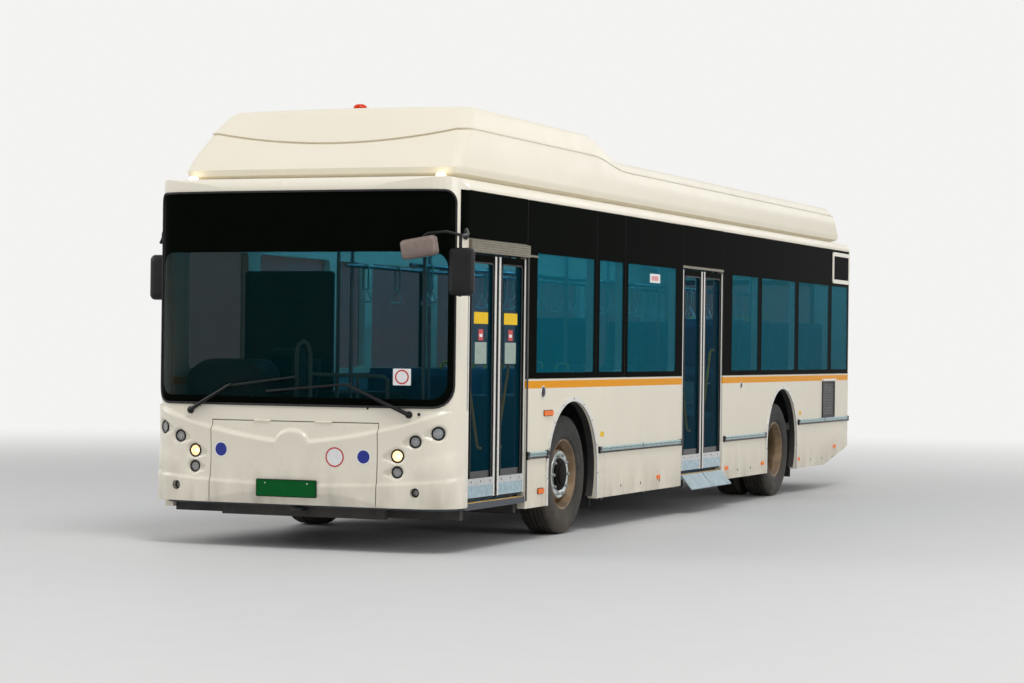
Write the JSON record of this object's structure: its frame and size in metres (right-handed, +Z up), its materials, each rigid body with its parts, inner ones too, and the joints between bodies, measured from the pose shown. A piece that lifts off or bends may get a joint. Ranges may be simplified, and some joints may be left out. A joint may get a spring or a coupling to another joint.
{
  "type": "airport passenger bus",
  "caption": "Long low-entry airport passenger bus with a roof fairing, inward-gliding double doors, steered front axle and twin rear wheels; root body is the coach shell.",
  "frame": {"origin": "on the road, under the middle of the overall box, between the axles", "axes": "+X forward along the bus, +Y to the bus's left, the door side, +Z up"},
  "size_m": [12.11, 2.95, 3.53],
  "materials": {
    "coachwork": "gloss cream-white coach paint",
    "chassis": "satin black chassis paint",
    "deck": "speckled vinyl floor on plywood",
    "fairing": "gloss cream-white painted moulding",
    "screen_glass": "laminated screen",
    "window_glass": "tinted tempered glass",
    "cab_trim": "grained moulding",
    "seat_shell": "moulded shell with fabric pad",
    "yellow_rail": "powder-coated tube",
    "bright_trim": "satin anodised",
    "lamp": "clear lens over a reflector",
    "red_lamp": "red lens",
    "amber_lamp": "amber lens",
    "black_trim": "satin black moulding",
    "tyre": "worn road rubber",
    "rim": "silver-cream wheel paint, dusty",
    "door_leaf": "aluminium frame round bonded glass",
    "castings": "oily casting",
    "rubber": "moulded rubber"
  },
  "bodies": {
    "body": {"underframe": "chassis", "cross_members": "chassis", "floor_deck": "deck", "floor_steps": "deck", "wheel_housings": "deck", "left_wall": "coachwork", "right_wall": "coachwork", "nose_panel": "coachwork", "tail_panel": "coachwork", "roof_panel": "coachwork", "roof_fairing": "fairing", "windscreen": "screen_glass", "window_glass": "window_glass", "dashboard": "cab_trim", "driver_seat": "seat_shell", "passenger_seats": "seat_shell", "grab_rails": "yellow_rail", "grab_poles": "yellow_rail", "arch_trims": "bright_trim", "rub_rails": "bright_trim", "headlamps": "lamp", "tail_lamps": "red_lamp", "marker_lamps": "amber_lamp", "beacon": "amber_lamp", "wipers": "black_trim", "mirrors": "black_trim", "side_grille": "black_trim", "door_headers": "bright_trim", "step_guards": "bright_trim", "drive_motor": "castings", "front_axle": "castings", "rear_axle": "castings", "mudflaps": "rubber"},
    "front_left_knuckle": {"knuckle_left": "castings"},
    "front_right_knuckle": {"knuckle_right": "castings"},
    "front_left_wheel": {"front_left_tyre": "tyre", "front_left_rim": "rim"},
    "front_right_wheel": {"front_right_tyre": "tyre", "front_right_rim": "rim"},
    "rear_left_wheels": {"rear_left_tyres": "tyre", "rear_left_rims": "rim"},
    "rear_right_wheels": {"rear_right_tyres": "tyre", "rear_right_rims": "rim"},
    "front_hatch": {"front_hatch": "coachwork"},
    "rear_hatch": {"rear_hatch": "coachwork"},
    "front_door_fore_leaf": {"front_door_fore_leaf": "door_leaf"},
    "front_door_fore_post": {"front_door_fore_post": "bright_trim"},
    "front_door_aft_leaf": {"front_door_aft_leaf": "door_leaf"},
    "front_door_aft_post": {"front_door_aft_post": "bright_trim"},
    "mid_door_fore_leaf": {"mid_door_fore_leaf": "door_leaf"},
    "mid_door_fore_post": {"mid_door_fore_post": "bright_trim"},
    "mid_door_aft_leaf": {"mid_door_aft_leaf": "door_leaf"},
    "mid_door_aft_post": {"mid_door_aft_post": "bright_trim"}
  },
  "joints": [
    {"name": "steer_left", "type": "hinge", "parent": "body", "child": "front_left_knuckle", "pos_m": [3.325, 0.91, 0.5], "axis": [0, 0, 1], "range_deg": [-38, 38]},
    {"name": "steer_right", "type": "hinge", "parent": "body", "child": "front_right_knuckle", "pos_m": [3.325, -0.91, 0.5], "axis": [0, 0, 1], "range_deg": [-38, 38]},
    {"name": "front_left_wheel_spin", "type": "hinge", "parent": "front_left_knuckle", "child": "front_left_wheel", "pos_m": [3.325, 1.1025, 0.5], "axis": [0, 1, 0], "continuous": true},
    {"name": "rear_left_wheels_spin", "type": "hinge", "parent": "body", "child": "rear_left_wheels", "pos_m": [-3.13, 1.1025, 0.5], "axis": [0, 1, 0], "continuous": true},
    {"name": "front_right_wheel_spin", "type": "hinge", "parent": "front_right_knuckle", "child": "front_right_wheel", "pos_m": [3.325, -1.1025, 0.5], "axis": [0, 1, 0], "continuous": true},
    {"name": "rear_right_wheels_spin", "type": "hinge", "parent": "body", "child": "rear_right_wheels", "pos_m": [-3.13, -1.1025, 0.5], "axis": [0, 1, 0], "continuous": true},
    {"name": "front_door_fore_post_turn", "type": "hinge", "parent": "body", "child": "front_door_fore_post", "pos_m": [5.635, 1.206, 1.33], "axis": [0, 0, 1], "range_deg": [0, 83.97]},
    {"name": "front_door_fore_leaf_turn", "type": "hinge", "parent": "front_door_fore_post", "child": "front_door_fore_leaf", "pos_m": [5.366, 1.25, 1.33], "axis": [0, 0, 1], "range_deg": [-173.97, 0]},
    {"name": "front_door_aft_post_turn", "type": "hinge", "parent": "body", "child": "front_door_aft_post", "pos_m": [4.375, 1.206, 1.33], "axis": [0, 0, -1], "range_deg": [0, 83.97]},
    {"name": "front_door_aft_leaf_turn", "type": "hinge", "parent": "front_door_aft_post", "child": "front_door_aft_leaf", "pos_m": [4.644, 1.25, 1.33], "axis": [0, 0, -1], "range_deg": [-173.97, 0]},
    {"name": "mid_door_fore_post_turn", "type": "hinge", "parent": "body", "child": "mid_door_fore_post", "pos_m": [0.3915, 1.206, 1.36], "axis": [0, 0, 1], "range_deg": [0, 84.47]},
    {"name": "mid_door_fore_leaf_turn", "type": "hinge", "parent": "mid_door_fore_post", "child": "mid_door_fore_leaf", "pos_m": [0.099, 1.25, 1.36], "axis": [0, 0, 1], "range_deg": [-174.47, 0]},
    {"name": "mid_door_aft_post_turn", "type": "hinge", "parent": "body", "child": "mid_door_aft_post", "pos_m": [-0.9625, 1.206, 1.36], "axis": [0, 0, -1], "range_deg": [0, 84.47]},
    {"name": "mid_door_aft_leaf_turn", "type": "hinge", "parent": "mid_door_aft_post", "child": "mid_door_aft_leaf", "pos_m": [-0.67, 1.25, 1.36], "axis": [0, 0, -1], "range_deg": [-174.47, 0]},
    {"name": "front_hatch_lift", "type": "hinge", "parent": "body", "child": "front_hatch", "pos_m": [5.955, 0, 0.979], "axis": [0, -1, 0], "range_deg": [0, 70]},
    {"name": "rear_hatch_lift", "type": "hinge", "parent": "body", "child": "rear_hatch", "pos_m": [-6.045, 0, 1.484], "axis": [0, 1, 0], "range_deg": [0, 75]}
  ],
  "couplings": [
    {"joint": "steer_right", "follows": "steer_left", "ratio": 1},
    {"joint": "front_door_fore_leaf_turn", "follows": "front_door_fore_post_turn", "ratio": -2.0718},
    {"joint": "front_door_aft_leaf_turn", "follows": "front_door_aft_post_turn", "ratio": -2.0718},
    {"joint": "mid_door_fore_leaf_turn", "follows": "mid_door_fore_post_turn", "ratio": -2.0655},
    {"joint": "mid_door_aft_leaf_turn", "follows": "mid_door_aft_post_turn", "ratio": -2.0655}
  ]
}
